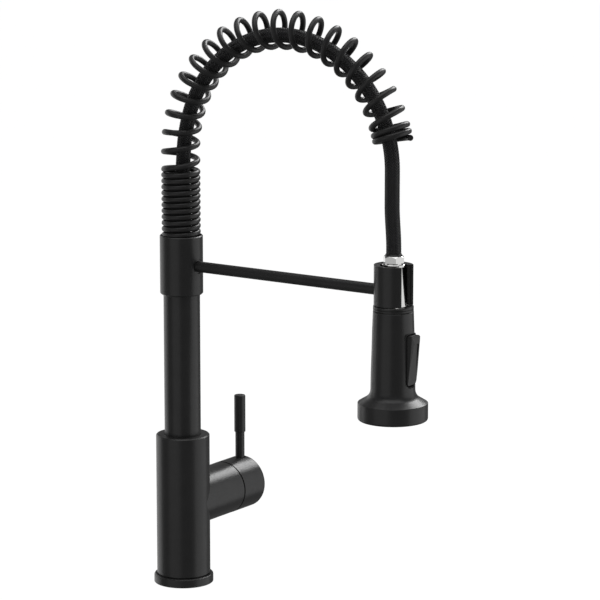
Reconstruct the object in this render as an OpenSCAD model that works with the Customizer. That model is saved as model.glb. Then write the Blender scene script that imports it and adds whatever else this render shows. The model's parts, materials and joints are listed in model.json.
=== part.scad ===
// Spring pull-down kitchen mixer tap with a side lever, a swivelling riser and a docked spray head.
// Origin: centre of the base flange's underside, on the deck. +Z up, +X along the dock arm,
// +Y along the valve axis towards the lever.

/* [Base and body] */
// Radius of the base flange
flange_r = 25.8; // [25:0.2:28]
// Height of the base flange
flange_h = 7.5; // [6:0.5:9]
// Outside radius of the body
body_r = 23.2; // [23.1:0.1:24]
// Height of the body's flat top above the deck
body_top_z = 131.8; // [130:0.2:136]
// Radius of the threaded shank below the deck
shank_r = 16.5; // [16:0.1:16.8]
// Depth of the shank below the deck
shank_depth = 62; // [50:1:70]
// Thickness of the deck clamped by the lock nut
deck_thickness = 24; // [10:1:35]

/* [Valve and lever] */
// Height of the valve axis above the deck
valve_z = 71; // [68:0.5:74]
// Radius of the side boss
boss_r = 23; // [22.6:0.1:23]
// Distance from the column axis to the end of the side boss
boss_end = 59.4; // [59:0.1:59.6]
// Radius of the handle cap
cap_r = 23.1; // [22.8:0.1:23.2]
// Distance from the column axis to the flat end of the handle cap
cap_end = 91.5; // [90:0.5:94]
// Distance from the column axis to the lever's axis
lever_y = 84.5; // [83.5:0.5:85]
// Height of the lever's tip above the deck
lever_top_z = 150.5; // [140:0.5:165]
// Radius of the lever's grip
grip_r = 5; // [4.6:0.1:5.5]
// Length of the lever's grip
grip_length = 33.5; // [25:0.5:40]
// Radius of the lever's stalk
stalk_r = 4.1; // [3.6:0.1:4.3]

/* [Riser and dock] */
// Radius of the riser tube
riser_r = 15.7; // [15:0.1:15.8]
// Radius of the collar on top of the riser
collar_r = 18.5; // [18.2:0.1:19]
// Height of the collar's lower edge
collar_bottom_z = 255.3; // [250:0.5:258]
// Height of the collar's upper edge
collar_top_z = 306.5; // [304:0.5:308]
// Height of the dock arm's axis
arm_z = 280.6; // [279:0.1:284]
// Radius of the dock arm
arm_r = 4.7; // [4.2:0.1:4.9]
// Distance from the column axis to the spray head's axis
reach = 216.2; // [200:0.2:230]
// Outside radius of the dock sleeve
dock_r = 16.2; // [16:0.1:16.5]
// Height of the dock sleeve's lower edge
dock_bottom_z = 269.6; // [269.4:0.1:270]
// Height of the dock sleeve's upper edge
dock_top_z = 302.8; // [301:0.2:304]
// Half the width of the dock sleeve's open slot
dock_slot_half = 8.9; // [8:0.1:9.5]

/* [Spring and hose] */
// Outside radius of the spring
spring_r = 16.8; // [16.4:0.1:17]
// Thickness of the spring's wire
wire_d = 4.9; // [3.8:0.1:5]
// Number of close-wound turns at the foot of the spring
close_turns = 11.15; // [10:0.05:13]
// Number of open turns over the arch
open_turns = 19.5; // [16:0.5:24]
// Number of closed turns at the free end of the spring
end_turns = 2.3; // [2:0.1:3]
// How far the open turns gather towards both ends of the open stretch
gather = 4; // [0:0.5:6]
// Height where the spring starts to bend over
arch_foot_z = 379.6; // [370:0.5:385]
// Angle above level where the spring ends on the head side
spring_end_angle = 13; // [8:1:20]
// How far the spring's free end stands outside the spray head's axis
spring_overhang = 1.4; // [0:0.2:2]
// Outside radius of the hose
hose_r = 6.3; // [5.8:0.1:6.5]
// How far the hose hangs on the column side of the spray head's axis, below the spring
hose_hang = 1.8; // [0:0.1:2]

/* [Spray head] */
// Radius of the spray head's top
head_top_r = 16.8; // [16.5:0.1:17]
// Radius of the spray head's waist, just above the flared rim
waist_r = 18.5; // [18.3:0.1:18.8]
// Radius of the flared rim
rim_r = 29.1; // [28.6:0.1:29.8]
// Height of the spray head's underside
head_bottom_z = 173.1; // [172.5:0.1:174]
// Height of the spray head's top edge
head_top_z = 264.4; // [264:0.1:264.5]
// Height of the rim's upper edge
rim_top_z = 188; // [187:0.1:189]
// Height where the waist starts to flare
flare_z = 199; // [198.5:0.1:201]

/* [Hidden] */

fine = 96;             // facets drawn on turned surfaces
small = 48;            // facets drawn on small round details
over = 1;              // how far a cutting solid runs past the face it cuts
fit = 0.05;            // radial gap between parts that are fitted together
loose = 0.3;           // radial gap round parts that slip over others

black = "#1d1d1f";
satin_black = "#2b2b2d";
rubber = "#0f0f10";
plastic = "#3a3a3c";
brass = "#b08d4a";
steel = "#a8abad";
chrome = "#d9dbdc";
ceramic = "#e8e4da";
white_plastic = "#d8d8d2";

// base and body
groove_h = 1.1;                            // height of the shadow groove between flange and body
body_base_z = flange_h + groove_h;
land_r = 21.6;                             // radius of the flange's raised land inside the groove
gasket_in = 18.5;
gasket_out = 22.5;
gasket_h = 2;
shank_bore_r = 13;
shank_top_z = 26;
nut_h = 10;
nut_r = 26.5;
washer_r = 24;
rubber_washer_h = 3;
steel_washer_h = 1.5;
port_x = 6.5;                              // distance of each supply port from the column axis
port_r = 5;
port_z = 27;                               // floor of the shank's bore in the body
port_depth = 12;
inlet_drop = 5;                            // inlets lie this far below the valve axis
outlet_rise = 6;                           // the outlet lies this far above the valve axis
inlet_r = 3;
outlet_r = 3.5;
socket_r = 11.1;                           // bore that the swivel spigot turns in
socket_z = 98;
spigot_r = socket_r - 0.1;
seat_z = 126.4;                            // floor of the recess around the riser's foot
seat_r = riser_r + loose;
retainer_z = 112;                          // height of the grub screw that holds the spigot
retainer_r = 2.5;
retainer_tip = 10;
hex_key_r = 1.4;                           // hexagon sockets of the grub screws
groove_r = 8.95;                           // floor of the spigot's grooves
retainer_groove_half = 2.6;
oring_groove_half = 1.15;
oring_heights = [102.15, 120.15];
oring_r = 1;
spigot_top_z = 138;
waterway_foot_z = 130;
waterway_top_z = 288;

// cartridge, measured along the valve axis from the column axis
chamber_r = 17.6;
chamber_start = 12;
housing_r = 17.5;
housing_bore_r = 15.6;
housing_floor = 15;
housing_end = 40.5;
cover_end = 43.5;
nose_r = 11.5;
nut_end = 51;
disc_top = 18.4;
pivot_y = 38;
stem_tilt = 11;                            // the closed stem points this far above the valve axis
stem_back = 14;
stem_front = 41;
stem_half = 3.5;
stem_socket = 30;                          // the cap's square socket starts this far from the pivot
ball_r = 2;
disc_rest = stem_back * sin(stem_tilt);    // how far below the valve axis the closed disc sits
pin_r = 1.5;
pin_half = 11.5;
moving_disc_r = 10.5;

// dome and cap share one sphere centre, so that the cap can tilt with an even gap
dome_r = 31.5;
cap_hollow_r = 32.4;
dome_hole_r = 10.6;
dome_edge_r = 21.4;
cap_wall_r = 19.8;
cap_floor = 72;
lever_foot = 12.2;                         // the lever starts this far above the valve axis
grip_stud_r = 2.5;
grip_stud_length = 20;
grip_bottom_z = lever_top_z - grip_length;
set_screw_y = 75.5;
set_screw_top = 3.1;
set_screw_r = 2.5;
set_screw_length = 10;

// riser, collar and dock
riser_bore_r = 13.5;
riser_bottom_z = 127.7;
riser_top_z = 262;
waterway_r = 6;
waterway_wall = 1;
spring_seat_z = 303.5;
collar_bore_r = 8.5;
arm_foot_x = 13.5;
arm_stud_r = 3;                            // reduced end of the arm inside the collar
arm_stud_x = 8.8;
collar_screw_z = 258.8;
collar_screw_r = 2;
dock_screw_r = 1.55;
dock_screw_head_r = 2.8;
dock_screw_sunk = 1.3;                     // depth of the screw's countersunk head in the dock's wall
dock_wall = 2.3;
liner_bore_r = 11.4;

// spring and hose paths: straight up, half round, straight down
arch_r = (reach + spring_overhang) / 2;
coil_phase = 349.2;                        // where the wire starts around the column
coil_r = spring_r - wire_d / 2;
spring_start_z = spring_seat_z + wire_d / 2 + 0.2;
close_pitch = 5.15;
straight_length = arch_foot_z - spring_start_z;
bend_length = arch_r * (180 - spring_end_angle) * PI / 180;
close_length = close_turns * close_pitch;
end_length = end_turns * close_pitch;
open_pitch = (straight_length + bend_length - close_length - end_length) / open_turns;
turns = close_turns + open_turns + end_turns;
steps_per_turn = 14;
wire_sides = 6;
hose_sides = 12;
hose_start_z = 300.2;
hose_end_z = 312.1;
hang_top_z = 352;                          // below here the hose comes into line with the head
liner_r = 4.9;
liner_bore = 3.5;
barb_r = liner_bore - 0.1;                 // barbs that the hose is pushed over
barb_top_z = 318.5;                        // both barbs end here, and the hose is straight up to here
hose_gap = 0.9;                            // the hose comes this close to the inner side of the coils
hose_lean = spring_r - wire_d - hose_r - hose_gap;
lean_start = 15;                           // the hose leans inwards over this stretch of the spring
lean_length = 90;
return_angle = 120;                        // it starts to come back out at this bend angle

// hose end and spray head
nipple_r = 5.4;
nipple_foot_z = 287;
nipple_top_z = 306;
nut_foot_z = 301.2;
nut_hex_z = 304.6;
nut_top_z = 310.3;
nut_turn = 13;                             // how far the nut's flats are turned
ferrule_top_z = 312;
neck_oring_z = 293.1;
neck_oring_r = 0.52;
neck_foot_z = 248;
passage_r = 4.6;                           // water passage down through the head's core
water_r = 2.4;                             // bore of both barbs
neck_bore_r = 5.5;
neck_top_z = 300.9;
neck_top_r = 8.1;
neck_base_z = 270.4;
neck_base_r = 10.4;
neck_shank_r = 12;
window_half = 7.3;
window_low = 202;
window_high = 247.5;
window_low_r = 5;                          // corner radii of the button's window
window_high_r = 2;
rocker_half = 6.3;
rocker_low = 203.3;
rocker_high = 246;
rocker_foot_z = 200;
pivot_x = 14.6;
pivot_z = 224.7;
spool_z = 212;
core_top_z = 247;
plate_z = 179.2;                           // underside of the plate that carries the spray face
spool_r = 2.5;
flare_fillet = 8.7;
flare_turn = 58;                           // how far the waist turns outwards to the sloping shoulder
rim_edge = 0.7;
rim_foot = 2;
face_z = 174.3;
face_h = 3;
face_hole_r = 9.8;                         // middle hole of the spray face, round the aerator
nozzle_r = 1;
nozzle_circles = [[14, 16], [19, 22], [23.3, 28]];   // radius of each circle and its number of nozzles

// ---------- helpers ----------

module ring(r_out, r_in, z0, z1) {
  difference() {
    rod(r_out, z0, z1);
    rod(r_in, z0 - over, z1 + over);
  }
}

module rod(r, z0, z1) {
  translate([0, 0, z0]) cylinder(r = r, h = z1 - z0, $fn = fine);
}

module block(x0, x1, y0, y1, z0, z1) {
  translate([x0, y0, z0]) cube([x1 - x0, y1 - y0, z1 - z0]);
}

// a bar along X whose lower long edges are rounded by r_low and its upper ones by r_high
module rounded_bar(x0, x1, half, z0, z1, r_low, r_high) {
  union() {
    block(x0, x1, -half, half, z0 + r_low, z1 - r_high);
    block(x0, x1, r_low - half, half - r_low, z0, z0 + r_low + over);
    block(x0, x1, r_high - half, half - r_high, z1 - r_high - over, z1);
    for (side = [-1, 1]) {
      translate([x0, side * (half - r_low), z0 + r_low]) rotate([0, 90, 0])
        cylinder(r = r_low, h = x1 - x0, $fn = small);
      translate([x0, side * (half - r_high), z1 - r_high]) rotate([0, 90, 0])
        cylinder(r = r_high, h = x1 - x0, $fn = small);
    }
  }
}

module turned(points) {
  rotate_extrude($fn = fine) polygon(points);
}

// local z becomes +Y, from the column axis along the valve axis; local +y points down
module on_valve_axis() {
  translate([0, 0, valve_z]) rotate([-90, 0, 0]) children();
}

module at_head() {
  translate([reach, 0, 0]) children();
}

// points of an arc about (cx, cy) from angle a0 to a1
function arc(cx, cy, r, a0, a1, n) =
  [for (i = [0:n]) [cx + r * cos(a0 + (a1 - a0) * i / n), cy + r * sin(a0 + (a1 - a0) * i / n)]];

// ---------- base and body ----------

module base_flange() {
  round_r = 1.5;
  foot_edge = 0.3;
  color(satin_black) difference() {
    union() {
      turned(concat([[0, 0], [flange_r - foot_edge, 0], [flange_r, foot_edge]],
                    arc(flange_r - round_r, flange_h - round_r, round_r, 0, 90, 6), [[0, flange_h]]));
      rod(land_r, flange_h, body_base_z);
    }
    rod(shank_r + loose, -over, body_base_z + over);
    ring(gasket_out + 0.1, gasket_in - 0.1, -over, gasket_h);
  }
}

module base_gasket() {
  color(rubber) ring(gasket_out, gasket_in, 0, gasket_h);
}

module mounting_shank() {
  color(brass) ring(shank_r, shank_bore_r, -shank_depth, shank_top_z);
}

module deck_rubber_washer() {
  color(rubber) ring(washer_r, shank_r + loose, -deck_thickness - rubber_washer_h, -deck_thickness);
}

module deck_steel_washer() {
  top_z = -deck_thickness - rubber_washer_h;
  color(steel) ring(washer_r, shank_r + loose, top_z - steel_washer_h, top_z);
}

module lock_nut() {
  top_z = -deck_thickness - rubber_washer_h - steel_washer_h;
  color(brass) difference() {
    translate([0, 0, top_z - nut_h]) cylinder(r = nut_r, h = nut_h, $fn = 6);
    rod(shank_r + fit, top_z - nut_h - over, top_z + over);
  }
}

// supply passages up from the shank and the mixed-water passage up to the spout
module body_passages() {
  for (x = [-port_x, port_x]) {
    translate([x, 0, 0]) rod(port_r, port_z - over, port_z + port_depth);
    translate([x, 0, 0]) rod(inlet_r, port_z, valve_z - inlet_drop);
    translate([x, -inlet_r, valve_z - inlet_drop]) rotate([-90, 0, 0])
      cylinder(r = inlet_r, h = chamber_start + inlet_r + over, $fn = small);
  }
  translate([0, -outlet_r, valve_z + outlet_rise]) rotate([-90, 0, 0])
    cylinder(r = outlet_r, h = chamber_start + outlet_r + over, $fn = small);
  rod(outlet_r, valve_z + outlet_rise, socket_z + over);
}

module body_shell() {
  edge = 0.8;
  color(satin_black) difference() {
    union() {
      turned([[0, body_base_z], [body_r, body_base_z], [body_r, body_top_z - edge],
              [body_r - edge, body_top_z], [0, body_top_z]]);
      on_valve_axis() rod(boss_r, 0, boss_end);
    }
    rod(shank_r + fit, body_base_z - over, port_z);
    body_passages();
    on_valve_axis() rod(chamber_r, chamber_start, boss_end + over);
    rod(socket_r, socket_z, body_top_z);
    rod(seat_r, seat_z, body_top_z + over);
    retaining_screw_shape(retainer_r + fit, body_r + over);
  }
}

// grub screw from the back of the body into the spigot's groove
module retaining_screw_shape(r, outer) {
  translate([-outer, 0, retainer_z]) rotate([0, 90, 0])
    cylinder(r = r, h = outer - retainer_tip, $fn = small);
}

module spout_retaining_screw() {
  color(steel) difference() {
    retaining_screw_shape(retainer_r, body_r - 1.5);
    translate([-body_r + 1, 0, retainer_z]) rotate([0, 90, 0]) cylinder(r = hex_key_r, h = 3, $fn = 6);
  }
}

module spout_slip_ring() {
  color(white_plastic) ring(seat_r - 0.1, socket_r + loose, seat_z, riser_bottom_z - 0.1);
}

// ---------- cartridge ----------

module ports(r_in, r_out, y0, y1) {
  for (x = [-port_x, port_x]) translate([x, inlet_drop, 0]) rod(r_in, y0, y1);
  translate([0, -outlet_rise, 0]) rod(r_out, y0, y1);
}

module cartridge_housing() {
  color(plastic) on_valve_axis() difference() {
    rod(housing_r, chamber_start, housing_end);
    rod(housing_bore_r, housing_floor, housing_end + over);
    ports(inlet_r, outlet_r, chamber_start - over, housing_floor + over);
    ports(inlet_r + 1.7, outlet_r + 1.7, chamber_start - over, chamber_start + 1.3);
  }
}

module cartridge_seals() {
  color(rubber) on_valve_axis() difference() {
    ports(inlet_r + 1.6, outlet_r + 1.6, chamber_start, chamber_start + 1.3);
    ports(inlet_r, outlet_r, chamber_start - over, chamber_start + 2);
  }
}

module cartridge_cover() {
  color(plastic) on_valve_axis() ring(housing_r, nose_r + 0.1, housing_end, cover_end);
}

module fixed_disc() {
  color(ceramic) on_valve_axis() difference() {
    rod(housing_bore_r - 0.1, housing_floor, disc_top);
    ports(inlet_r, outlet_r, housing_floor - over, disc_top + over);
  }
}

module cartridge_nut() {
  color(brass) on_valve_axis() difference() {
    rod(housing_r, cover_end, nut_end);
    rod(nose_r + 1.2, cover_end - over, nut_end + over);
    for (a = [0:90:270])
      rotate([0, 0, a]) block(housing_r - 3, housing_r + over, -1.5, 1.5, nut_end - 3, nut_end + over);
  }
}

module dome_ring() {
  hole_a = acos(dome_hole_r / dome_r);
  edge_a = acos(dome_edge_r / dome_r);
  inner_r = dome_r - 1.8;
  skirt_r = 16;
  color(black) on_valve_axis() turned(concat(
    [[housing_r, boss_end], [dome_edge_r, boss_end]],
    arc(0, pivot_y, dome_r, edge_a, hole_a, 12),
    arc(0, pivot_y, inner_r, acos(dome_hole_r / inner_r), acos(skirt_r / inner_r), 8),
    [[skirt_r, nut_end + 0.3], [housing_r, nut_end + 0.3]]));
}

module cartridge_carrier() {
  back = disc_top + 3.5;
  slot_half = 7;
  color(white_plastic) on_valve_axis() difference() {
    union() {
      rod(housing_bore_r - 0.08, back, housing_end - 0.3);
      rod(nose_r, housing_end - over, cover_end + 3);
    }
    block(-5.4, 5.4, -8.3, 8.3, back - over, back + 5.6);
    block(-stem_half - 0.3, stem_half + 0.3, -slot_half, slot_half, back, cover_end + 4);
    translate([-pin_half - 0.5, 0, pivot_y]) rotate([0, 90, 0])
      cylinder(r = pin_r + 0.02, h = 2 * pin_half + 1, $fn = small);
  }
}

module stem_pivot_pin() {
  color(steel) on_valve_axis()
    translate([-pin_half, 0, pivot_y]) rotate([0, 90, 0])
      cylinder(r = pin_r, h = 2 * pin_half, $fn = small);
}

module moving_disc() {
  color(ceramic) on_valve_axis() translate([0, disc_rest, 0]) difference() {
    rod(moving_disc_r, disc_top + 0.1, disc_top + 3.1);
    rod(5.5, disc_top, disc_top + 1.6);
  }
}

module disc_coupler() {
  top = disc_top + 3.1;
  color(plastic) on_valve_axis() translate([0, disc_rest, 0]) difference() {
    block(-5, 5, -5, 5, top, top + 5);
    rod(ball_r + 0.4, top + 0.3, top + 5 + over);
  }
}

// the stem's own axis: local z runs along the stem from its pivot, tilted up from the valve axis
module on_stem_axis() {
  on_valve_axis() translate([0, 0, pivot_y]) rotate([stem_tilt, 0, 0]) children();
}

module cartridge_stem() {
  color(brass) difference() {
    on_stem_axis() {
      block(-stem_half, stem_half, -stem_half, stem_half, -8, stem_front);
      rod(1.6, -stem_back, -7);
      translate([0, 0, -stem_back]) sphere(r = ball_r, $fn = small);
    }
    on_stem_axis() translate([-over - stem_half, 0, 0]) rotate([0, 90, 0])
      cylinder(r = pin_r + 0.05, h = 2 * stem_half + 2 * over, $fn = small);
  }
}

// ---------- handle ----------

module handle_cap() {
  rim_a = acos(cap_r / cap_hollow_r);
  wall_a = acos(cap_wall_r / cap_hollow_r);
  round_r = 2;
  color(satin_black) difference() {
    on_valve_axis() turned(concat(
      arc(0, pivot_y, cap_hollow_r, wall_a, rim_a, 4),
      arc(cap_r - round_r, cap_end - round_r, round_r, 0, 90, 6),
      [[0, cap_end], [0, cap_floor], [cap_wall_r, cap_floor]]));
    on_stem_axis() block(-stem_half - fit, stem_half + fit, -stem_half - fit, stem_half + fit,
                         stem_socket, stem_front + loose);
    translate([0, lever_y, valve_z]) rod(stalk_r + fit, lever_foot, cap_r + over);
    translate([0, lever_y, valve_z]) rod(stalk_r + 1.1, cap_r - 1.2, cap_r + over);
    translate([0, set_screw_y, valve_z]) rod(set_screw_r + fit, -cap_r - over, set_screw_top);
  }
}

module lever_stalk() {
  color(black) translate([0, lever_y, 0]) union() {
    rod(stalk_r, valve_z + lever_foot, grip_bottom_z);
    rod(grip_stud_r, grip_bottom_z - over, grip_bottom_z + grip_stud_length);
  }
}

module lever_grip() {
  round_r = 0.8;
  color(black) translate([0, lever_y, 0]) difference() {
    turned(concat([[0, grip_bottom_z], [grip_r - 0.4, grip_bottom_z], [grip_r, grip_bottom_z + 0.4]],
                  arc(grip_r - round_r, lever_top_z - round_r, round_r, 0, 90, 6), [[0, lever_top_z]]));
    rod(grip_stud_r + fit, grip_bottom_z - over, grip_bottom_z + grip_stud_length + 0.5);
  }
}

module handle_set_screw() {
  color(steel) translate([0, set_screw_y, valve_z]) difference() {
    rod(set_screw_r, set_screw_top - set_screw_length, set_screw_top);
    translate([0, 0, set_screw_top - set_screw_length - over]) cylinder(r = hex_key_r, h = 4, $fn = 6);
  }
}

module screw_plug() {
  color(black) translate([0, set_screw_y, valve_z]) rod(set_screw_r, -cap_r + 0.2, -cap_r + 3);
}

// ---------- riser and collar ----------

// outline of a groove in the spigot's side, from its lower edge to its upper edge
function groove(z, half) =
  [[spigot_r, z - half], [groove_r, z - half], [groove_r, z + half], [spigot_r, z + half]];

module swivel_spigot() {
  bottom = socket_z + 0.3;
  shoulder_z = riser_bottom_z + 0.3;
  plug_r = riser_bore_r - fit;
  color(brass) difference() {
    turned(concat([[0, bottom], [spigot_r, bottom]], groove(oring_heights[0], oring_groove_half),
                  groove(retainer_z, retainer_groove_half), groove(oring_heights[1], oring_groove_half),
                  [[spigot_r, shoulder_z], [plug_r, shoulder_z], [plug_r, spigot_top_z], [0, spigot_top_z]]));
    rod(waterway_r - waterway_wall, bottom - over, spigot_top_z + over);
    rod(waterway_r + fit, waterway_foot_z, spigot_top_z + over);
  }
}

module spigot_orings() {
  color(rubber) for (z = oring_heights)
    translate([0, 0, z]) rotate_extrude($fn = fine) translate([groove_r + oring_r + 0.03, 0])
      circle(r = oring_r, $fn = 24);
}

module riser_tube() {
  color(satin_black) ring(riser_r, riser_bore_r, riser_bottom_z, riser_top_z);
}

module waterway_tube() {
  color(brass) ring(waterway_r, waterway_r - waterway_wall, waterway_foot_z, waterway_top_z);
}

module collar() {
  edge = 0.6;
  foot_edge = 1.2;
  color(satin_black) difference() {
    turned([[0, collar_bottom_z], [collar_r - foot_edge, collar_bottom_z],
            [collar_r, collar_bottom_z + foot_edge], [collar_r, collar_top_z - edge],
            [collar_r - edge, collar_top_z], [0, collar_top_z]]);
    rod(riser_r + fit, collar_bottom_z - over, riser_top_z + 0.1);
    rod(collar_bore_r, riser_top_z, collar_top_z + over);
    rod(spring_r + loose, spring_seat_z, collar_top_z + over);
    arm_bore(arm_stud_r + fit, collar_bore_r - 0.5, arm_foot_x);
    arm_bore(arm_r + fit, arm_foot_x, collar_r + over);
    arm_bore(arm_r + 1.6, collar_r - 1, collar_r + over);
    translate([-collar_r - over, 0, collar_screw_z]) rotate([0, 90, 0])
      cylinder(r = collar_screw_r + fit, h = 6, $fn = small);
  }
}

module arm_bore(r, x0, x1) {
  translate([x0, 0, arm_z]) rotate([0, 90, 0]) cylinder(r = r, h = x1 - x0, $fn = small);
}

module collar_set_screw() {
  color(steel) translate([-collar_r + 0.2, 0, collar_screw_z]) rotate([0, 90, 0]) difference() {
    cylinder(r = collar_screw_r, h = collar_r - riser_r - 0.25, $fn = small);
    translate([0, 0, -over]) cylinder(r = 1.1, h = 2, $fn = 6);
  }
}

// connector that joins the waterway tube to the hose inside the collar
module hose_socket() {
  foot_z = 283;
  top_z = 298;
  color(brass) difference() {
    union() {
      rod(collar_bore_r - 0.1, foot_z, top_z);
      rod(barb_r, top_z - over, barb_top_z);
    }
    rod(waterway_r + fit, foot_z - over, waterway_top_z + 0.1);
    rod(water_r, waterway_top_z, barb_top_z + over);
  }
}

// ---------- dock ----------

module dock_arm() {
  color(satin_black) difference() {
    union() {
      arm_bore(arm_stud_r, arm_stud_x, arm_foot_x + over);
      arm_bore(arm_r, arm_foot_x, reach - 10);
    }
    at_head() rod(dock_r, arm_z - 10, arm_z + 10);
    arm_bore(dock_screw_r + fit, reach - dock_r - 9, reach);
  }
}

module c_sleeve(r_out, r_in, z0, z1, slot_half) {
  difference() {
    ring(r_out, r_in, z0, z1);
    block(0, r_out + over, -slot_half, slot_half, z0 - over, z1 + over);
  }
}

module dock_holder() {
  color(satin_black) difference() {
    at_head() c_sleeve(dock_r, dock_r - dock_wall, dock_bottom_z, dock_top_z, dock_slot_half);
    arm_bore(dock_screw_r + fit, reach - dock_r - over, reach);
    translate([reach - dock_r + dock_wall - dock_screw_sunk, 0, arm_z]) rotate([0, 90, 0])
      cylinder(r1 = 1.6, r2 = 3.2, h = 1.6, $fn = small);
  }
}

module dock_liner() {
  color(plastic) difference() {
    at_head() c_sleeve(dock_r - dock_wall - fit, liner_bore_r, dock_bottom_z + loose,
                       dock_top_z - loose, dock_slot_half - 0.5);
    arm_bore(3.4, reach - dock_r, reach);
  }
}

module dock_screw() {
  head_x = reach - dock_r + dock_wall - dock_screw_sunk;
  color(steel) difference() {
    union() {
      arm_bore(dock_screw_r, reach - dock_r - 8.5, head_x + 0.1);
      translate([head_x, 0, arm_z]) rotate([0, 90, 0])
        cylinder(r1 = dock_screw_r - fit, r2 = dock_screw_head_r, h = dock_screw_sunk, $fn = small);
    }
    translate([head_x + 0.5, 0, arm_z]) rotate([0, 90, 0]) cylinder(r = 1, h = 2, $fn = 6);
  }
}

// ---------- spring and hose ----------

// distance along the spring's centre line after t turns
function along_spring(t) =
  t < close_turns ? t * close_pitch :
  t < close_turns + open_turns ?
    close_length + (t - close_turns) * open_pitch - gather * sin(360 * (t - close_turns) / open_turns) :
  close_length + open_turns * open_pitch + (t - close_turns - open_turns) * close_pitch;

// bend angle reached at distance s along the centre line
function bend_at(s) = max(0, s - straight_length) / arch_r * 180 / PI;

function centre_at(s) =
  s < straight_length ? [0, 0, spring_start_z + s] :
  [arch_r * (1 - cos(bend_at(s))), 0, arch_foot_z + arch_r * sin(bend_at(s))];

// unit vector from the coil's axis to the wire after t turns
function outward(t) =
  let (a = bend_at(along_spring(t)), b = 360 * t + coil_phase) [-cos(b) * cos(a), -sin(b), cos(b) * sin(a)];

function wire_at(t) = centre_at(along_spring(t)) + coil_r * outward(t);

function unit(v) = v / norm(v);

module spring() {
  n = floor(turns * steps_per_turn);
  rings = [for (i = [0:n])
    let (t = i / steps_per_turn, e = outward(t), d = unit(wire_at(t + 0.01) - wire_at(t - 0.01)),
         f = unit(cross(d, e)), g = cross(f, d))
    [for (k = [0:wire_sides - 1]) let (a = 360 * k / wire_sides)
      wire_at(t) + wire_d / 2 * (cos(a) * g + sin(a) * f)]];
  color(satin_black) swept(rings, wire_sides);
}

// a closed solid through equal rings of points; each ring is listed in the same turning sense
module swept(rings, sides) {
  last = len(rings) - 1;
  caps = [[for (k = [sides - 1:-1:0]) k], [for (k = [0:sides - 1]) last * sides + k]];
  polyhedron(points = [for (ring = rings) each ring], faces = concat(walls(last, sides, 0, false), caps),
             convexity = 12);
}

// triangles between consecutive rings; inside walls face the other way
function walls(last, sides, first, inside) = [for (i = [0:last - 1]) for (k = [0:sides - 1])
  let (a = first + i * sides + k, b = first + i * sides + (k + 1) % sides)
  each inside
    ? [[a, b + sides, b], [a, a + sides, b + sides]]
    : [[a, b, b + sides], [a, b + sides, a + sides]]];

function ease(t) = let (u = max(0, min(1, t))) u * u * (3 - 2 * u);

// distance along the spring's centre line at bend angle a
function arch_run(a) = straight_length + arch_r * a * PI / 180;

// how far the hose lies on the inner side of the spring's centre line at distance s
function hose_inset(s) =
  hose_lean * ease((s - lean_start) / lean_length)
  - (hose_lean - spring_overhang - hose_hang)
    * ease((s - arch_run(return_angle)) / (arch_run(180) - arch_run(return_angle)));

function hose_on_spring(s) = centre_at(s) + hose_inset(s) * [cos(bend_at(s)), 0, -sin(bend_at(s))];

// centre line of the hose: up the column, round the inner side of the arch, down to the head
hose_stations = concat(
  [[[0, 0, hose_start_z], 0]],
  [for (run = [15:15:60]) [hose_on_spring(run), 0]],
  [for (a = [0:6:180]) [hose_on_spring(arch_run(a)), a]],
  [for (z = concat([hang_top_z + 20, hang_top_z, hang_top_z - 11, hang_top_z - 22, barb_top_z], hose_end_z))
    [[reach - hose_hang * ease((z - barb_top_z) / (hang_top_z - barb_top_z)), 0, z], 180]]);

function hose_rings(r) = [for (s = hose_stations) each [for (k = [0:hose_sides - 1])
  let (a = 360 * k / hose_sides) s[0] + r * [-cos(a) * cos(s[1]), sin(a), cos(a) * sin(s[1])]]];

// a hollow tube along the hose's centre line
module hose_tube(r_out, r_in) {
  last = len(hose_stations) - 1;
  count = (last + 1) * hose_sides;
  rims = [for (k = [0:hose_sides - 1]) let (n = (k + 1) % hose_sides, e = last * hose_sides)
    each [[k, count + k, count + n], [k, count + n, n],
          [e + k, e + count + n, e + count + k], [e + k, e + n, e + count + n]]];
  polyhedron(points = concat(hose_rings(r_out), hose_rings(r_in)), convexity = 12,
             faces = concat(walls(last, hose_sides, 0, false), walls(last, hose_sides, count, true), rims));
}

module hose_braid() {
  color(black) hose_tube(hose_r, liner_r);
}

module hose_liner() {
  color(white_plastic) hose_tube(liner_r - 0.1, liner_bore);
}

// ---------- end of the hose ----------

module hose_ferrule() {
  r = 6.95;
  color(black) at_head() difference() {
    turned([[0, nut_top_z], [r, nut_top_z], [r, ferrule_top_z - 0.8], [hose_r, ferrule_top_z],
            [0, ferrule_top_z]]);
    rod(barb_r, nut_top_z - over, ferrule_top_z + over);
  }
}

module hose_nut() {
  flats = 15.5;
  lip_r = 9.6;
  lip_top_z = nut_hex_z - 1;
  edge = 0.4;
  color(chrome) at_head() difference() {
    union() {
      intersection() {
        rotate([0, 0, nut_turn]) translate([0, 0, nut_hex_z])
          cylinder(r = flats / 2 / cos(30), h = nut_top_z - nut_hex_z, $fn = 6);
        turned([[0, nut_hex_z], [8.9, nut_hex_z], [8.9, nut_top_z - 1.3], [7.6, nut_top_z],
                [0, nut_top_z]]);
      }
      rod(7, lip_top_z - 0.1, nut_hex_z + 0.1);
      turned([[0, nut_foot_z], [lip_r - edge, nut_foot_z], [lip_r, nut_foot_z + edge],
              [lip_r, lip_top_z - edge], [lip_r - edge, lip_top_z], [0, lip_top_z]]);
    }
    rod(barb_r, nipple_top_z, nut_top_z + over);
    rod(nipple_r + 0.02, nut_foot_z - over, nipple_top_z);
  }
}

module swivel_nipple() {
  color(brass) at_head() difference() {
    union() {
      rod(nipple_r, nipple_foot_z, nipple_top_z);
      rod(barb_r - fit, nipple_top_z - over, barb_top_z);
    }
    rod(water_r, nipple_foot_z - over, barb_top_z + over);
    ring(nipple_r + over, 4.3, neck_oring_z - 1.1, neck_oring_z + 1.1);
  }
}

// ---------- spray head ----------

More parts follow.
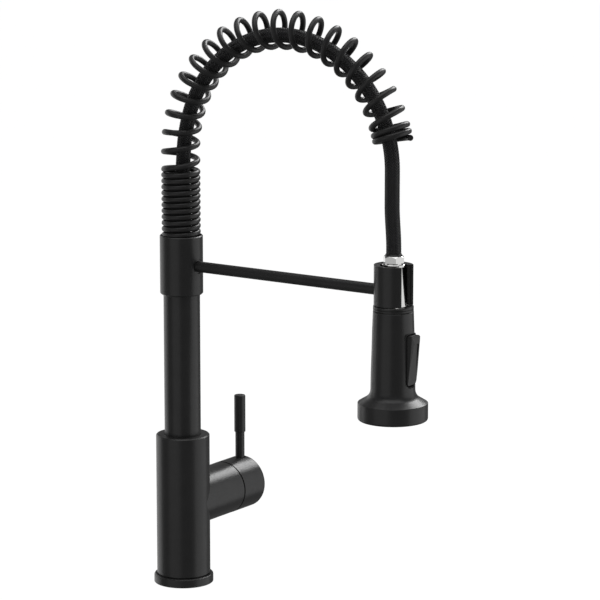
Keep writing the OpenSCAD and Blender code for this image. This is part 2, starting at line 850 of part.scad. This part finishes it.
module head_neck() {
  bead_r = 13.5;
  bead_z = 266;
  color(chrome) at_head() difference() {
    turned([[0, neck_foot_z], [neck_shank_r, neck_foot_z], [neck_shank_r, bead_z - 1.4], [bead_r, bead_z],
            [bead_r, bead_z + 2.6], [neck_base_r + 0.6, bead_z + 3], [neck_base_r, neck_base_z],
            [neck_top_r, neck_top_z], [0, neck_top_z]]);
    rod(neck_bore_r, nipple_foot_z - 0.5, neck_top_z + over);
    rod(passage_r, neck_foot_z - over, nipple_foot_z);
  }
}

module neck_oring() {
  color(rubber) at_head() translate([0, 0, neck_oring_z]) rotate_extrude($fn = fine)
    translate([nipple_r - neck_oring_r + 0.02, 0]) circle(r = neck_oring_r, $fn = 24);
}

module check_valve() {
  cage_z = 262;
  color(white_plastic) at_head() difference() {
    union() {
      rod(passage_r - 0.1, cage_z, cage_z + 12);
      rod(3.2, cage_z - 6, cage_z + over);
    }
    rod(2, cage_z - 7, cage_z + 8);
    ring(4, 3, cage_z + 9, cage_z + 13);
  }
}

module neck_washer() {
  color(rubber) at_head() ring(10, passage_r, core_top_z, neck_foot_z);
}

module head_top_ring() {
  r = head_top_r - 0.1;
  inner = 13.7;
  foot_z = head_top_z + 0.2;
  groove_z = head_top_z + 2.4;
  top_z = 268.9;
  color(black) at_head() turned([
    [inner, foot_z], [r - 0.4, foot_z], [r, foot_z + 0.4], [r, groove_z - 0.3], [r - 0.5, groove_z - 0.1],
    [r - 0.5, groove_z + 0.1], [r, groove_z + 0.3], [r, top_z - 0.5], [r - 0.4, top_z], [inner, top_z]]);
}

// outline of the shell from its top edge down to its underside
function shell_outline() = concat(
  [[head_top_r - 0.3, head_top_z], [head_top_r, head_top_z - 0.3], [head_top_r + 0.6, 248],
   [head_top_r + 1.05, 228], [waist_r - 0.2, 213]],
  arc(waist_r + flare_fillet, flare_z, flare_fillet, 180, 180 + flare_turn, 10),
  arc(rim_r - rim_edge, rim_top_z - rim_edge, rim_edge, flare_turn, 0, 4),
  arc(rim_r - rim_foot, head_bottom_z + rim_foot, rim_foot, 0, -80, 5));

module head_shell() {
  inside_r = rim_r - 2.25;
  collar_z = 262.2;                        // underside of the shell's top wall
  color(satin_black) at_head() difference() {
    turned(concat(shell_outline(), [
      [inside_r, head_bottom_z], [inside_r, 185.2], [16, 194.6], [15.3, collar_z],
      [neck_shank_r + fit, collar_z], [neck_shank_r + fit, head_top_z]]));
    rounded_bar(8, 30, window_half, window_low, window_high, window_low_r, window_high_r);
  }
}

module diverter_body() {
  spray_ring_r = 17;                       // circle of the holes that feed the spray face
  color(plastic) at_head() difference() {
    union() {
      rod(rim_r - 2.75, plate_z, plate_z + 3.8);
      rod(9.8, plate_z + 2.8, core_top_z);
    }
    rod(passage_r, spool_z - 7, core_top_z + over);
    rod(7, plate_z + 6.8, spool_z - 12);
    rod(3.4, spool_z - 13, spool_z - 6);
    rod(9.5, plate_z - over, plate_z + 5);
    for (a = [0:45:315])
      rotate([0, 0, a]) translate([spray_ring_r, 0, 0]) rod(2, plate_z - over, plate_z + 5);
    translate([1, 0, spool_z]) rotate([0, 90, 0]) cylinder(r = spool_r + 0.1, h = 12, $fn = small);
  }
}

module button_frame() {
  gap = 0.1;
  wall = 0.65;
  back_x = 10.6;
  color(black) at_head() difference() {
    rounded_bar(back_x, 17.4, window_half - gap, window_low + gap, window_high - gap,
                window_low_r - gap, window_high_r - gap);
    rounded_bar(back_x + 1, 20, window_half - wall, window_low + wall, window_high - wall,
                window_low_r - wall, window_high_r - wall);
    translate([pivot_x, -10, pivot_z]) rotate([-90, 0, 0]) cylinder(r = pin_r, h = 20, $fn = small);
    translate([9, 0, spool_z]) rotate([0, 90, 0]) cylinder(r = spool_r + 0.4, h = 4, $fn = small);
  }
}

module rocker_pin() {
  color(steel) at_head() translate([pivot_x, -window_half + 0.15, pivot_z]) rotate([-90, 0, 0])
    cylinder(r = pin_r - 0.05, h = 2 * window_half - 0.3, $fn = small);
}

// frame of the rocker's face, which leans back towards its lower end
module on_rocker_face() {
  lean = 4.75;
  at_head() translate([0, 0, rocker_foot_z]) rotate([0, lean, 0]) children();
}

module rocker_button() {
  face_r = 19.5;
  hub_r = 2.6;
  recess_half = 4.1;
  recess_x = 18.4;
  color(satin_black) difference() {
    union() {
      intersection() {
        at_head() translate([0, rocker_half, 0]) rotate([90, 0, 0]) linear_extrude(2 * rocker_half)
          polygon([[15.3, rocker_high], [21.2, rocker_high], [22.5, rocker_high - 1.8], [22.7, 240],
                   [18.9, 208], [18.2, 204.6], [16.8, rocker_low], [12.4, rocker_low], [12.2, 206]]);
        on_rocker_face() rod(face_r, -8, 62);
        at_head() rounded_bar(8, 30, rocker_half, rocker_low, rocker_high,
                              window_low_r - 1, window_high_r - 0.5);
      }
      at_head() translate([pivot_x, -rocker_half, pivot_z]) rotate([-90, 0, 0])
        cylinder(r = hub_r, h = 2 * rocker_half, $fn = small);
    }
    at_head() translate([pivot_x, -10, pivot_z]) rotate([-90, 0, 0]) cylinder(r = pin_r, h = 20, $fn = small);
    on_rocker_face() rounded_bar(recess_x, 25, recess_half, 6, 41, 2.5, 2.5);
  }
}

module diverter_spool() {
  color(brass) at_head() translate([2, 0, spool_z]) rotate([0, 90, 0])
    cylinder(r = spool_r, h = 10.2, $fn = small);
}

module nozzle_places() {
  for (circle = nozzle_circles)
    for (i = [0:circle[1] - 1]) rotate([0, 0, 360 * i / circle[1]]) translate([circle[0], 0, 0]) children();
}

module head_face() {
  color(plastic) at_head() difference() {
    rod(rim_r - 2.35, face_z, face_z + face_h);
    rod(face_hole_r, face_z - over, face_z + face_h + over);
    nozzle_places() translate([0, 0, face_z - over])
      cylinder(r = nozzle_r + 0.1, h = face_h + 2 * over, $fn = 16);
  }
}

module nozzle_mat() {
  color("#6f7275") at_head() {
    ring(rim_r - 3.05, face_hole_r + 0.4, face_z + face_h, plate_z - 0.2);
    nozzle_places() translate([0, 0, head_bottom_z + 0.2]) cylinder(r = nozzle_r, h = face_h + 1.5, $fn = 16);
  }
}

module aerator() {
  foot_z = face_z + 0.2;
  top_z = plate_z + 4.8;
  screen_z = foot_z + 0.8;
  screen_h = 1.7;
  mesh_pitch = 2.5;
  color(plastic) at_head() difference() {
    rod(face_hole_r - 0.4, foot_z, top_z);
    rod(7.8, foot_z - over, screen_z);
    rod(7, screen_z + screen_h, top_z + over);
    for (x = [-2 * mesh_pitch:mesh_pitch:2 * mesh_pitch])
      for (y = [-2 * mesh_pitch:mesh_pitch:2 * mesh_pitch])
        translate([x, y, screen_z - over]) cylinder(r = 0.8, h = screen_h + 2 * over, $fn = 16);
  }
}

base_flange();
base_gasket();
mounting_shank();
deck_rubber_washer();
deck_steel_washer();
lock_nut();
body_shell();
cartridge_housing();
cartridge_cover();
cartridge_seals();
fixed_disc();
cartridge_nut();
dome_ring();
spout_slip_ring();
spout_retaining_screw();
cartridge_carrier();
stem_pivot_pin();
moving_disc();
disc_coupler();
cartridge_stem();
handle_cap();
lever_stalk();
lever_grip();
handle_set_screw();
screw_plug();
swivel_spigot();
spigot_orings();
riser_tube();
waterway_tube();
collar();
collar_set_screw();
hose_socket();
dock_arm();
dock_holder();
dock_liner();
dock_screw();
spring();
hose_braid();
hose_liner();
hose_ferrule();
hose_nut();
swivel_nipple();
head_neck();
neck_oring();
check_valve();
neck_washer();
head_top_ring();
head_shell();
diverter_body();
button_frame();
rocker_pin();
head_face();
nozzle_mat();
aerator();
rocker_button();
diverter_spool();
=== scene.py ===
import json
import math

import bpy
import numpy as np
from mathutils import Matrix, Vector


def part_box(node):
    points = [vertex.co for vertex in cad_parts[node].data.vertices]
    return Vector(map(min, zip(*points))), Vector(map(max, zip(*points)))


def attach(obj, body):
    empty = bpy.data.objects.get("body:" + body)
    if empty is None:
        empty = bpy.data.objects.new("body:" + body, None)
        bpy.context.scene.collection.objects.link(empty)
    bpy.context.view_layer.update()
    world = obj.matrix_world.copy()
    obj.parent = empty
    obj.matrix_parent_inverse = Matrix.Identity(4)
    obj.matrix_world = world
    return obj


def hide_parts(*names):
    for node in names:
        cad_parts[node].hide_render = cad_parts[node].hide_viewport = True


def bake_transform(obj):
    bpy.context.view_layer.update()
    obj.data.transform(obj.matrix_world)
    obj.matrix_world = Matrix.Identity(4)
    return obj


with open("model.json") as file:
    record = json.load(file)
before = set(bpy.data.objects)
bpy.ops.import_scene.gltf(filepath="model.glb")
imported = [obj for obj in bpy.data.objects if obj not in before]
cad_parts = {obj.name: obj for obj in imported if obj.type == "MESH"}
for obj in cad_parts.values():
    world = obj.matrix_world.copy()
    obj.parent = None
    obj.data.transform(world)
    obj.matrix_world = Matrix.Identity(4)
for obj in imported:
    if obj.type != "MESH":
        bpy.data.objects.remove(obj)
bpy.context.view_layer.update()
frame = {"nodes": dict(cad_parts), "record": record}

scene = bpy.context.scene
MM = 0.001

# ---------- camera, at the photograph's viewing angle ----------

CAMERA_AT = Vector((1.5063, -2.0017, 0.7335))
CAMERA_AIM = Vector((-0.5583, 0.8077, -0.1898))
CAMERA_LENS = 178.07         # focal length in millimetres, on a sensor 36 mm wide
CAMERA_SHIFT = 0.00125       # sideways, as a share of the picture's width
CAMERA_TURN = -55.35         # bearing of the camera's side, in degrees from +X towards +Y


def add_camera():
    data = bpy.data.cameras.new("camera")
    data.lens = CAMERA_LENS
    data.sensor_width = 36
    data.shift_x = CAMERA_SHIFT
    data.clip_end = 50
    camera = bpy.data.objects.new("camera", data)
    camera.location = CAMERA_AT
    camera.rotation_euler = CAMERA_AIM.to_track_quat("-Z", "Y").to_euler()
    scene.collection.objects.link(camera)
    scene.camera = camera


add_camera()

# ---------- sizes shared with the CAD model, in millimetres ----------


def corners(node):
    """Lowest and highest corner of a CAD node, in millimetres."""
    low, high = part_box(node)
    return np.array(low) / MM, np.array(high) / MM


hose_start_z = corners("hose_braid")[0][2]
hose_end_z = corners("hose_ferrule")[1][2]
nut_low, nut_high = corners("hose_nut")
reach = (nut_low[0] + nut_high[0]) / 2

spring_r = 16.8
wire_d = 4.9
close_turns = 11.15                       # close wound at the foot
open_turns = 19.5                         # open over the arch
end_turns = 2.3                           # close wound again above the spray head
close_pitch = 5.15
gather = 4                                # draws the open coils closer at both ends and wider at the top
coil_phase = math.radians(349.2)          # where the wire starts round the foot
spring_start_z = 306.15
arch_foot_z = 379.6
spring_end_angle = math.radians(13)       # the spring stops this far short of a half circle
spring_overhang = 1.4                     # its far foot would stand this far beyond the head's axis
arch_r = (reach + spring_overhang) / 2
coil_r = spring_r - wire_d / 2

hose_r = 6.3
liner_r = 4.9
liner_bore = 3.5
core_r = hose_r - 0.5                     # solid tube under the woven sleeve
inner_tube_r = liner_r - 0.1
hose_gap = 0.9                            # between the hose and the inner side of the coils
hose_lean = spring_r - wire_d - hose_r - hose_gap
hose_hang = 1.8                           # below the spring the hose hangs this far off the head's axis
lean_start, lean_length = 15, 90          # the hose leans inwards over this stretch of the spring
return_angle = math.radians(120)          # it starts to come back out at this bend angle
hang_start_z, hang_top_z = 316, 352       # it comes into line with the head between these heights

# ---------- node materials ----------


class Nodes:
    """A material's node tree, with short calls for the nodes that the finishes below share."""

    def __init__(self, name):
        self.material = bpy.data.materials.new(name)
        self.material.use_nodes = True
        self.tree = self.material.node_tree
        self.shader = self.tree.nodes["Principled BSDF"]
        self.place = self.add("ShaderNodeTexCoord").outputs["Object"]

    def add(self, kind, **inputs):
        node = self.tree.nodes.new(kind)
        for name, value in inputs.items():
            self.feed(node.inputs[name.replace("_", " ")], value)
        return node

    def feed(self, socket, value):
        if isinstance(value, bpy.types.NodeSocket):
            self.tree.links.new(value, socket)
        else:
            socket.default_value = value

    def noise(self, size_mm, detail=2.0, stretch=None):
        """Noise whose features are about size_mm wide, drawn out by stretch along each axis."""
        place = self.place
        if stretch:
            place = self.add("ShaderNodeMapping", Vector=place, Scale=stretch).outputs["Vector"]
        node = self.add("ShaderNodeTexNoise", Vector=place, Scale=1 / (size_mm * MM), Detail=detail)
        return node.outputs["Fac"]

    def between(self, value, low, high):
        """The middle of a noise's range, spread from low to high."""
        span = {"From_Min": 0.3, "From_Max": 0.7, "To_Min": low, "To_Max": high}
        return self.add("ShaderNodeMapRange", Value=value, **span).outputs["Result"]

    def blend_colours(self, value, first, second):
        node = self.tree.nodes.new("ShaderNodeMix")
        node.data_type = "RGBA"
        self.feed(node.inputs["Factor"], value)
        node.inputs[6].default_value = (*first, 1)
        node.inputs[7].default_value = (*second, 1)
        return node.outputs[2]

    def bump(self, height, depth_mm, normal=None):
        node = self.add("ShaderNodeBump", Height=height, Distance=depth_mm * MM)
        if normal:
            self.feed(node.inputs["Normal"], normal)
        return node.outputs["Normal"]

    def surface(self, **inputs):
        for name, value in inputs.items():
            self.feed(self.shader.inputs[name.replace("_", " ")], value)
        return self.material


def shades(colour, spread):
    """A darker and a lighter shade of one colour."""
    return [c * (1 - spread) for c in colour], [min(1, c * (1 + spread)) for c in colour]


def coating(name, colour, rough, grain_mm, grain_depth_mm, spread=0.1, cloud_mm=14, **extra):
    """A sprayed or moulded surface: cloudy colour and gloss over a fine grain."""
    n = Nodes(name)
    clouds = n.between(n.noise(cloud_mm), 0, 1)
    n.feed(n.shader.inputs["Base Color"], n.blend_colours(clouds, *shades(colour, spread)))
    n.feed(n.shader.inputs["Roughness"], n.between(n.noise(grain_mm * 3, 3), rough - 0.04, rough + 0.04))
    n.feed(n.shader.inputs["Normal"], n.bump(n.noise(grain_mm, 1), grain_depth_mm))
    return n.surface(**extra)


def metal(name, colour, rough, line_mm, line_depth_mm, stretch=(1, 1, 1), spread=0.06, **extra):
    """Bare metal with the fine lines that turning or polishing leaves."""
    n = Nodes(name)
    lines = n.noise(line_mm, 2, stretch)
    clouds = n.between(n.noise(9), 0, 1)
    n.feed(n.shader.inputs["Base Color"], n.blend_colours(clouds, *shades(colour, spread)))
    n.feed(n.shader.inputs["Roughness"], n.between(lines, rough * 0.75, rough * 1.25))
    n.feed(n.shader.inputs["Normal"], n.bump(lines, line_depth_mm))
    return n.surface(Metallic=1.0, **extra)


def braid_yarn():
    """Nylon yarn: fine filaments along each ribbon of the braid, from the ribbon's own coordinates."""
    n = Nodes("braid_yarn")
    along = n.add("ShaderNodeUVMap").outputs["UV"]
    drawn = n.add("ShaderNodeMapping", Vector=along, Scale=(0.6, 7, 1)).outputs["Vector"]
    filaments = n.add("ShaderNodeTexNoise", Vector=drawn, Scale=3.0, Detail=2.0).outputs["Fac"]
    colour = n.blend_colours(n.between(filaments, 0, 1), (0.008, 0.008, 0.009), (0.026, 0.026, 0.028))
    return n.surface(
        Base_Color=colour,
        Roughness=n.between(filaments, 0.5, 0.68),
        Normal=n.bump(filaments, 0.02),
        Sheen_Weight=0.1,
        Sheen_Roughness=0.4,
    )


LATHE = (0.04, 0.04, 1)      # lines that run round a part turned about Z
FINISHES = {
    "satin_black_metal": coating("powder_coat", (0.026, 0.026, 0.0265), 0.32, 0.5, 0.004),
    "black_spring_wire": coating("coated_wire", (0.022, 0.022, 0.0225), 0.4, 0.7, 0.004, cloud_mm=6),
    "black_braid": braid_yarn(),
    "black_plastic": coating("moulded_plastic", (0.012, 0.012, 0.0125), 0.42, 0.25, 0.008),
    "black_button": coating("button_plastic", (0.017, 0.017, 0.0175), 0.38, 0.3, 0.004),
    "chrome": metal("chrome", (0.8, 0.8, 0.79), 0.09, 2.0, 0.0005, spread=0.02),
    "brass": metal("turned_brass", (0.72, 0.52, 0.25), 0.26, 0.12, 0.003, LATHE),
    "steel": metal("turned_steel", (0.56, 0.57, 0.58), 0.3, 0.12, 0.003, LATHE),
    "rubber_seal": coating("rubber", (0.012, 0.012, 0.012), 0.62, 0.2, 0.01),
    "ceramic": coating("ground_ceramic", (0.8, 0.78, 0.72), 0.22, 0.1, 0.0005, spread=0.03),
    "white_acetal": coating("acetal", (0.72, 0.72, 0.69), 0.38, 0.4, 0.002, spread=0.03),
    "hose_inner": coating("hose_liner", (0.62, 0.62, 0.6), 0.4, 0.5, 0.002, spread=0.04),
    "grey_silicone": coating("silicone", (0.13, 0.134, 0.14), 0.5, 0.3, 0.004),
}


def finish_nodes():
    """Gives every CAD node the finish of its material slot."""
    for part in frame["record"]["subparts"]:
        data = frame["nodes"][part["node"]].data
        data.materials.clear()
        data.materials.append(FINISHES[part["material_slot"]])


finish_nodes()

# ---------- mesh pieces ----------


def new_piece(name, points_mm, faces, material_slot):
    mesh = bpy.data.meshes.new(name)
    mesh.from_pydata((np.asarray(points_mm) * MM).tolist(), [], faces)
    mesh.validate()
    mesh.shade_smooth()
    mesh.materials.append(FINISHES[material_slot])
    piece = bpy.data.objects.new(name, mesh)
    scene.collection.objects.link(piece)
    return piece


def wall_faces(rings, sides, first=0, inside=False):
    """Quads between consecutive rings of points; inside walls face the other way."""
    i, k = np.meshgrid(np.arange(rings - 1), np.arange(sides), indexing="ij")
    a = first + i * sides + k
    b = first + i * sides + (k + 1) % sides
    quads = np.stack([a, a + sides, b + sides, b] if inside else [a, b, b + sides, a + sides], -1)
    return quads.reshape(-1, 4).tolist()


def swept(centres, out, across, radius_out, radius_across, sides):
    """Rings of points round a line: an ellipse with one half axis along out and one along across."""
    angle = 2 * np.pi * np.arange(sides) / sides
    ring = np.cos(angle)[None, :, None] * (radius_out * out)[:, None, :]
    ring = ring + np.sin(angle)[None, :, None] * (radius_across * across)[:, None, :]
    return (centres[:, None, :] + ring).reshape(-1, 3)


def end_caps(rings, sides, first=0):
    last = first + (rings - 1) * sides
    return [[first + k for k in range(sides - 1, -1, -1)], [last + k for k in range(sides)]]


def hollow_faces(rings, sides):
    """Outer wall, inner wall and both annular ends; the inner points come after the outer ones."""
    inner, last = rings * sides, (rings - 1) * sides
    faces = wall_faces(rings, sides) + wall_faces(rings, sides, inner, inside=True)
    for k in range(sides):
        n = (k + 1) % sides
        faces.append([k, inner + k, inner + n, n])
        faces.append([last + k, last + n, inner + last + n, inner + last + k])
    return faces


def unit(vectors):
    return vectors / np.linalg.norm(vectors, axis=-1, keepdims=True)


# ---------- spring ----------


def spring_line(turn):
    """Centre line of the coils and the bend angle there, after each number of turns."""
    straight = arch_foot_z - spring_start_z
    bend = arch_r * (math.pi - spring_end_angle)
    closed, ended = close_turns * close_pitch, end_turns * close_pitch
    pitch = (straight + bend - closed - ended) / open_turns
    past = turn - close_turns
    opened = past * pitch - gather * np.sin(2 * np.pi * past / open_turns)
    run = np.where(turn < close_turns, turn * close_pitch, closed + opened)
    after = closed + open_turns * pitch + (past - open_turns) * close_pitch
    run = np.where(turn < close_turns + open_turns, run, after)
    angle = np.maximum(0, run - straight) / arch_r
    x = arch_r * (1 - np.cos(angle))
    z = np.where(run < straight, spring_start_z + run, arch_foot_z + arch_r * np.sin(angle))
    return np.stack([x, 0 * x, z], -1), angle


def wire_line(turn):
    """Centre line of the wire and the direction from the coils' centre line to it."""
    centre, angle = spring_line(turn)
    around = 2 * np.pi * turn + coil_phase
    inwards = np.cos(around)
    out = np.stack([-inwards * np.cos(angle), -np.sin(around), inwards * np.sin(angle)], -1)
    return centre + coil_r * out, out


def add_spring(steps_per_turn=36, sides=16):
    turns = close_turns + open_turns + end_turns
    turn = np.linspace(0, turns, round(turns * steps_per_turn) + 1)
    line, out = wire_line(turn)
    nudge = 0.001          # turns either side, to find the wire's direction
    along = unit(wire_line(turn + nudge)[0] - wire_line(turn - nudge)[0])
    across = unit(np.cross(along, out))
    out = np.cross(across, along)
    radius = np.full((len(turn), 1), wire_d / 2)
    edge = 0.35            # the cut ends are slightly rounded
    line = np.concatenate([line[:1] - edge * along[:1], line, line[-1:] + edge * along[-1:]])
    out, across = (np.concatenate([v[:1], v, v[-1:]]) for v in (out, across))
    radius = np.concatenate([radius[:1] - edge, radius, radius[-1:] - edge])
    points = swept(line, out, across, radius, radius, sides)
    faces = wall_faces(len(line), sides) + end_caps(len(line), sides)
    return new_piece("spring_wire", points, faces, "black_spring_wire")


# ---------- hose ----------


def ease(t):
    """Smooth step from 0 at t = 0 to 1 at t = 1."""
    t = np.clip(t, 0, 1)
    return t * t * (3 - 2 * t)


def hose_line(foot_points=6, rise_points=40, arch_points=260, fall_points=60):
    """Centre line of the hose from the column to the spray head, as closely spaced points."""
    straight = arch_foot_z - spring_start_z
    rise = np.linspace(0, straight, rise_points)[:-1]
    run = np.concatenate([rise, straight + arch_r * np.linspace(0, math.pi, arch_points)])
    angle = np.maximum(0, run - straight) / arch_r
    inset = hose_lean * ease((run - lean_start) / lean_length)
    returned = ease((angle - return_angle) / (math.pi - return_angle))
    inset = inset - (hose_lean - spring_overhang - hose_hang) * returned
    x = arch_r * (1 - np.cos(angle)) + inset * np.cos(angle)
    height = np.where(run < straight, spring_start_z + run, arch_foot_z + arch_r * np.sin(angle))
    z = height - inset * np.sin(angle)
    foot = np.linspace(hose_start_z, spring_start_z, foot_points)[:-1]
    fall = np.linspace(arch_foot_z, hose_end_z, fall_points)[1:]
    hang = reach - hose_hang * ease((fall - hang_start_z) / (hang_top_z - hang_start_z))
    x = np.concatenate([0 * foot, x, hang])
    z = np.concatenate([foot, z, fall])
    return np.stack([x, 0 * x, z], -1)


HOSE = hose_line()
HOSE_RUN = np.concatenate([[0], np.cumsum(np.linalg.norm(np.diff(HOSE, axis=0), axis=1))])
SIDEWAYS = np.array([0.0, 1.0, 0.0])


def hose_frame(run):
    """Points of the hose's centre line, its direction and the outer side of its bend."""
    step = 1.5             # millimetres either side, to find the direction
    at, ahead, behind = (
        np.stack([np.interp(run + offset, HOSE_RUN, HOSE[:, k]) for k in range(3)], -1)
        for offset in (0, step, -step)
    )
    along = unit(ahead - behind)
    return at, along, np.cross(along, SIDEWAYS)


def hose_tube(name, r_out, r_in, material_slot, sides=24, step=2.5):
    """A hollow tube along the hose."""
    run = np.linspace(0, HOSE_RUN[-1], int(HOSE_RUN[-1] / step))
    at, along, outer = hose_frame(run)
    side = np.cross(along, outer)
    points = np.concatenate([swept(at, outer, side, r, r, sides) for r in (r_out, r_in)])
    return new_piece(name, points, hollow_faces(len(run), sides), material_slot)


def add_braid(carriers=20, angle=math.radians(40), samples=2):
    """The woven sleeve: ribbons wound both ways round the hose, each over two and under two."""
    cover = 0.92           # how much of its own share of the surface a ribbon covers
    yarn_offset = 37       # so that each ribbon shows another stretch of the filaments
    sides = 4
    middle_r = hose_r - 0.25
    lift, thickness = 0.13, 0.16          # how far a ribbon weaves in and out, and its own thickness
    lay = 2 * math.pi * middle_r / math.tan(angle)
    crossing = lay / (2 * carriers)
    width = cover * 2 * math.pi * middle_r * math.cos(angle) / carriers
    run = np.arange(0, HOSE_RUN[-1], crossing / samples)
    at, along, outer = hose_frame(run)
    points, faces, uvs = [], [], []
    for way in (1, -1):
        for carrier in range(carriers):
            around = 2 * math.pi * carrier / carriers + way * 2 * math.pi * run / lay
            out = np.cos(around)[:, None] * outer + np.sin(around)[:, None] * SIDEWAYS
            order = run / crossing + 2 * way * carrier
            height = middle_r + way * lift * np.cos(math.pi / 2 * order - math.pi / 4)
            line = at + height[:, None] * out
            forward = unit(np.gradient(line, axis=0))
            across = unit(np.cross(forward, out))
            first = sum(len(p) for p in points)
            points.append(swept(line, out, across, thickness / 2, width / 2, sides))
            walls = wall_faces(len(run), sides, first, inside=True)
            faces += walls + [cap[::-1] for cap in end_caps(len(run), sides, first)]
            length = np.repeat(run, sides) + yarn_offset * carrier
            uvs.append(np.stack([length, np.tile([0.5, 1, 0.5, 0], len(run)) * width], -1))
    piece = new_piece("hose_sleeve", np.concatenate(points), faces, "black_braid")
    uv = np.concatenate(uvs)
    corner = np.empty(len(piece.data.loops), np.int32)
    piece.data.loops.foreach_get("vertex_index", corner)
    layer = piece.data.uv_layers.new(name="ribbon").data
    layer.foreach_set("uv", uv[corner].astype(np.float32).ravel())
    return piece


def flexible(piece, *replaced):
    """Bakes the arch piece's placement into its mesh and hides the CAD parts that it replaces; the arch
    runs between the column, which it leaves untouched, and the spray head's fitting.
    """
    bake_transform(piece)
    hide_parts(*replaced)


flexible(add_spring(), "spring")
flexible(add_braid(), "hose_braid")
flexible(hose_tube("hose_core", core_r, liner_r, "black_plastic"), "hose_braid")
flexible(hose_tube("hose_inner_tube", inner_tube_r, liner_bore, "hose_inner"), "hose_liner")

# ---------- threaded shank below the deck ----------


def add_shank(pitch=1.5, depth=0.75, bore_r=13.0, sides=72, rows_per_turn=6):
    """The threaded shank, with its real thread and its bore."""
    low, high = corners("mounting_shank")
    radius = high[0]
    plain = 4.0            # unthreaded length inside the body
    run_out = 1.5          # length over which the thread fades in and out
    rows = int((high[2] - low[2]) / pitch * rows_per_turn)
    z = np.linspace(low[2], high[2], rows)
    angle = 2 * np.pi * np.arange(sides) / sides
    height, around = np.meshgrid(z, angle, indexing="ij")
    wave = np.abs(((height / pitch - around / (2 * np.pi)) % 1) * 2 - 1)
    fade = np.clip(np.minimum(height - low[2], high[2] - plain - height) / run_out, 0, 1)
    r = radius - depth * wave * fade
    thread = np.stack([r * np.cos(around), r * np.sin(around), height], -1).reshape(-1, 3)
    bore = np.stack([bore_r * np.cos(around), bore_r * np.sin(around), height], -1).reshape(-1, 3)
    points = np.concatenate([thread, bore])
    shank = new_piece("threaded_shank", points, hollow_faces(rows, sides), "brass")
    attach(shank, "base")
    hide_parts("mounting_shank")


add_shank()

# ---------- floor, light and background ----------


def add_floor(half=15.0, gap=0.0002):
    """A floor that is white by its own light, just below the base so that they share no plane."""
    mesh = bpy.data.meshes.new("floor")
    square = [(-half, -half, 0), (half, -half, 0), (half, half, 0), (-half, half, 0)]
    mesh.from_pydata(square, [], [(0, 1, 2, 3)])
    floor = bpy.data.objects.new("floor", mesh)
    floor.location.z = -gap
    n = Nodes("floor")
    n.feed(n.shader.inputs["Roughness"], n.between(n.noise(40), 0.85, 0.95))
    mesh.materials.append(
        n.surface(Base_Color=(0.02, 0.02, 0.02, 1), Emission_Color=(1, 1, 1, 1), Emission_Strength=0.99)
    )
    # the floor's own brightness stays out of the black finish's reflections
    floor.visible_glossy = False
    floor.visible_diffuse = False
    floor.visible_shadow = False
    scene.collection.objects.link(floor)


def around_object(turn_deg, height, distance):
    """A point round the spray head and column; turn_deg counts to the right from the camera's side."""
    centre = Vector((reach * MM / 2, 0, 0))
    azimuth = math.radians(CAMERA_TURN + turn_deg)
    away = Vector((math.cos(azimuth), math.sin(azimuth), 0)) * distance
    return centre + away + Vector((0, 0, height))


def add_softbox(name, turn_deg, height, distance, width, tall, power, aim_z=0.25):
    data = bpy.data.lights.new(name, "AREA")
    data.shape = "RECTANGLE"
    data.size = width
    data.size_y = tall
    data.energy = power
    light = bpy.data.objects.new(name, data)
    light.location = around_object(turn_deg, height, distance)
    target = Vector((reach * MM / 2, 0, aim_z))
    light.rotation_euler = (target - light.location).to_track_quat("-Z", "Y").to_euler()
    light.visible_camera = False
    scene.collection.objects.link(light)


def add_world(strength=0.155):
    world = bpy.data.worlds.new("studio")
    world.use_nodes = True
    background = world.node_tree.nodes["Background"]
    background.inputs["Color"].default_value = (1, 1, 1, 1)
    background.inputs["Strength"].default_value = strength
    scene.world = world


add_floor()
add_world()
add_softbox("left_rim", -136, 0.1, 1.6, 1.8, 2.0, 9)
add_softbox("front_left", -38, 0.1, 2.2, 2.1, 2.0, 4.6)
add_softbox("right_side", 88, 0.1, 1.5, 2.0, 2.0, 8.4)
add_softbox("back_right_high", 146, 1.25, 1.25, 0.8, 0.8, 14)
add_softbox("overhead", 0, 1.7, 0.1, 1.6, 1.6, 9)
scene.view_settings.view_transform = "Standard"
